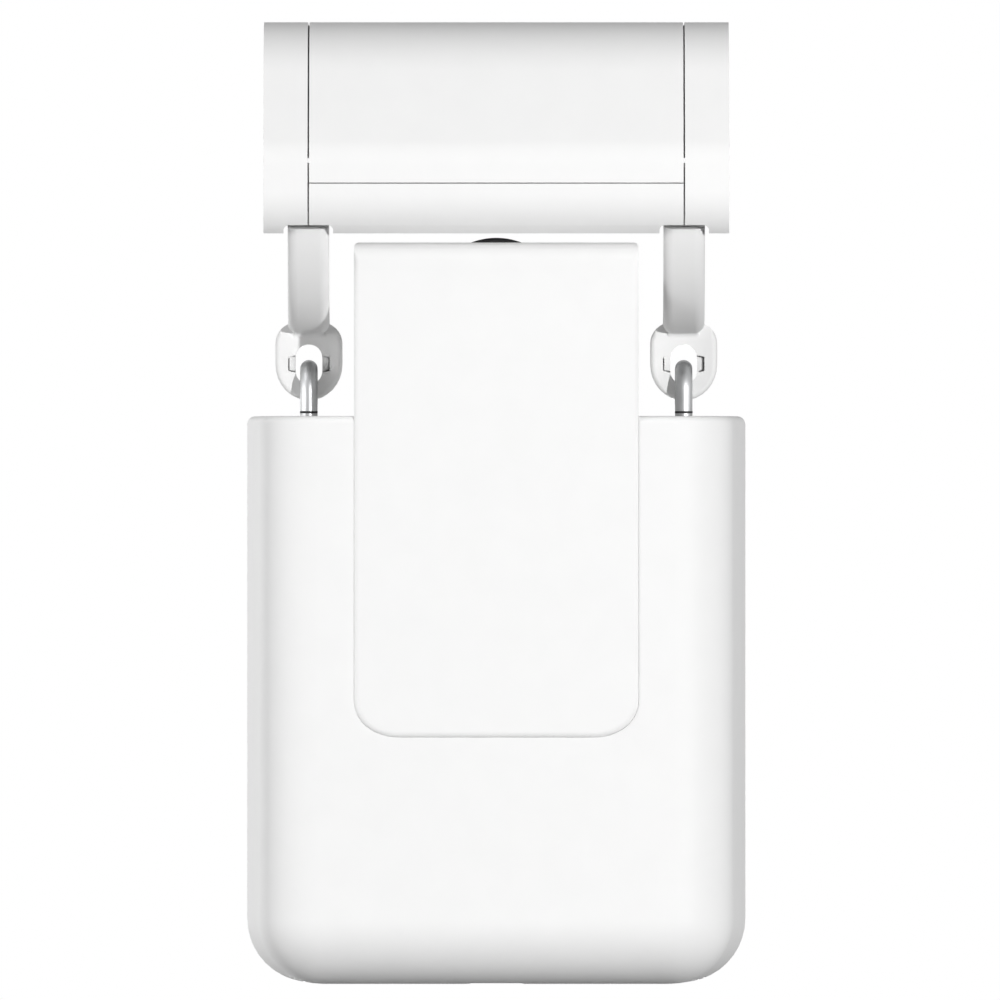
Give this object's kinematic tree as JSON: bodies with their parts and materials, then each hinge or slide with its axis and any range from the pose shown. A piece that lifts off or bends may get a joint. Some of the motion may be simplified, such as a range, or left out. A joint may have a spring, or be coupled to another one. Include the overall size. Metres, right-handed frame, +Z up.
{
  "type": "smart curtain robot",
  "caption": "White curtain robot: a rounded hood with idler wheels sits on a curtain rod, and a slim body hangs from it on sprung steel hooks and grips the rod with a drive wheel.",
  "frame": {"origin": "on the axis of the curtain rod, at mid width", "axes": "+X along the rod, to the right seen from the front; front faces -Y; +Z up"},
  "size_m": [0.082, 0.048, 0.1577],
  "materials": {
    "white_plastic": "fine-grained satin white moulding",
    "steel": "bright drawn steel wire and turned steel",
    "rubber": "matt black rubber",
    "gear_plastic": "natural acetal, satin",
    "brass": "cut brass",
    "motor_steel": "plated sheet steel",
    "aluminium": "stamped sheet, satin",
    "black_plastic": "matt black moulding",
    "cell_sleeve": "green shrink sleeve over a metal cell",
    "board_green": "green solder mask on laminate",
    "clear_plastic": "clear light guide",
    "smoked_plastic": "smoked glossy window"
  },
  "bodies": {
    "bridge": {"bridge_frame": "white_plastic", "bridge_cover": "white_plastic", "left_end_cap": "white_plastic", "right_end_cap": "white_plastic", "left_hook_arm": "white_plastic", "right_hook_arm": "white_plastic", "arm_screws": "steel", "bridge_screws": "steel", "idler_axles": "steel"},
    "left_idler": {"left_idler_hub": "gear_plastic", "left_idler_tyre": "rubber"},
    "right_idler": {"right_idler_hub": "gear_plastic", "right_idler_tyre": "rubber"},
    "left_hook": {"left_steel_hook": "steel", "left_spring_seat": "steel", "left_hook_spring": "steel"},
    "right_hook": {"right_steel_hook": "steel", "right_spring_seat": "steel", "right_hook_spring": "steel"},
    "body": {"front_shell": "white_plastic", "rear_cover": "white_plastic", "front_plate": "white_plastic", "drive_frame": "white_plastic", "gear_plate": "aluminium", "drive_bearings": "steel", "gear_pins": "steel", "motor_can": "motor_steel", "motor_cap": "black_plastic", "motor_screws": "steel", "frame_screws": "steel", "cover_screws": "steel", "hook_guides": "gear_plastic", "left_cell": "cell_sleeve", "right_cell": "cell_sleeve", "left_cell_cradle": "black_plastic", "right_cell_cradle": "black_plastic", "main_board": "board_green", "radio_module": "motor_steel", "charging_socket": "motor_steel", "light_guide": "clear_plastic", "sensor_window": "smoked_plastic", "button_switch": "black_plastic"},
    "drive_wheel": {"drive_axle": "steel", "drive_hub": "gear_plastic", "drive_tyre": "rubber", "wheel_gear": "gear_plastic"},
    "middle_gear": {"middle_gear": "gear_plastic"},
    "first_gear": {"first_gear": "gear_plastic"},
    "motor_rotor": {"motor_shaft": "steel", "motor_pinion": "brass"},
    "button": {"power_button": "white_plastic"}
  },
  "joints": [
    {"name": "hook_swing", "type": "hinge", "parent": "bridge", "child": "left_hook", "pos_m": [0, 0, -0.0328], "axis": [1, 0, 0], "range_deg": [-12, 12]},
    {"name": "left_hook_slide", "type": "slide", "parent": "left_hook", "child": "body", "axis": [0, 0, -1], "range_m": [0, 0.0075], "stiffness_N_per_m": 450, "springref_m": -0.008, "deforming": ["left_hook_spring"]},
    {"name": "right_hook_slide", "type": "slide", "parent": "body", "child": "right_hook", "axis": [0, 0, 1], "range_m": [0, 0.0075], "stiffness_N_per_m": 450, "springref_m": -0.008, "deforming": ["right_hook_spring"]},
    {"name": "drive_wheel_spin", "type": "hinge", "parent": "body", "child": "drive_wheel", "pos_m": [0, 0, -0.0192], "axis": [0, 1, 0], "continuous": true},
    {"name": "middle_gear_spin", "type": "hinge", "parent": "body", "child": "middle_gear", "pos_m": [0, 0, -0.0318], "axis": [0, 1, 0], "continuous": true},
    {"name": "first_gear_spin", "type": "hinge", "parent": "body", "child": "first_gear", "pos_m": [0, 0, -0.0444], "axis": [0, 1, 0], "continuous": true},
    {"name": "motor_spin", "type": "hinge", "parent": "body", "child": "motor_rotor", "pos_m": [0, 0, -0.0588], "axis": [0, 1, 0], "continuous": true},
    {"name": "left_idler_spin", "type": "hinge", "parent": "bridge", "child": "left_idler", "pos_m": [-0.016, 0, 0.0171], "axis": [0, 1, 0], "continuous": true},
    {"name": "right_idler_spin", "type": "hinge", "parent": "bridge", "child": "right_idler", "pos_m": [0.016, 0, 0.0171], "axis": [0, 1, 0], "continuous": true},
    {"name": "button_press", "type": "slide", "parent": "body", "child": "button", "axis": [0, 0, 1], "range_m": [0, 0.0005], "stiffness_N_per_m": 1000, "springref_m": -0.0006}
  ],
  "couplings": [
    {"joint": "right_hook_slide", "follows": "left_hook_slide", "ratio": 1},
    {"joint": "middle_gear_spin", "follows": "drive_wheel_spin", "ratio": -2.5},
    {"joint": "first_gear_spin", "follows": "drive_wheel_spin", "ratio": 6.25},
    {"joint": "motor_spin", "follows": "drive_wheel_spin", "ratio": -23.75}
  ]
}
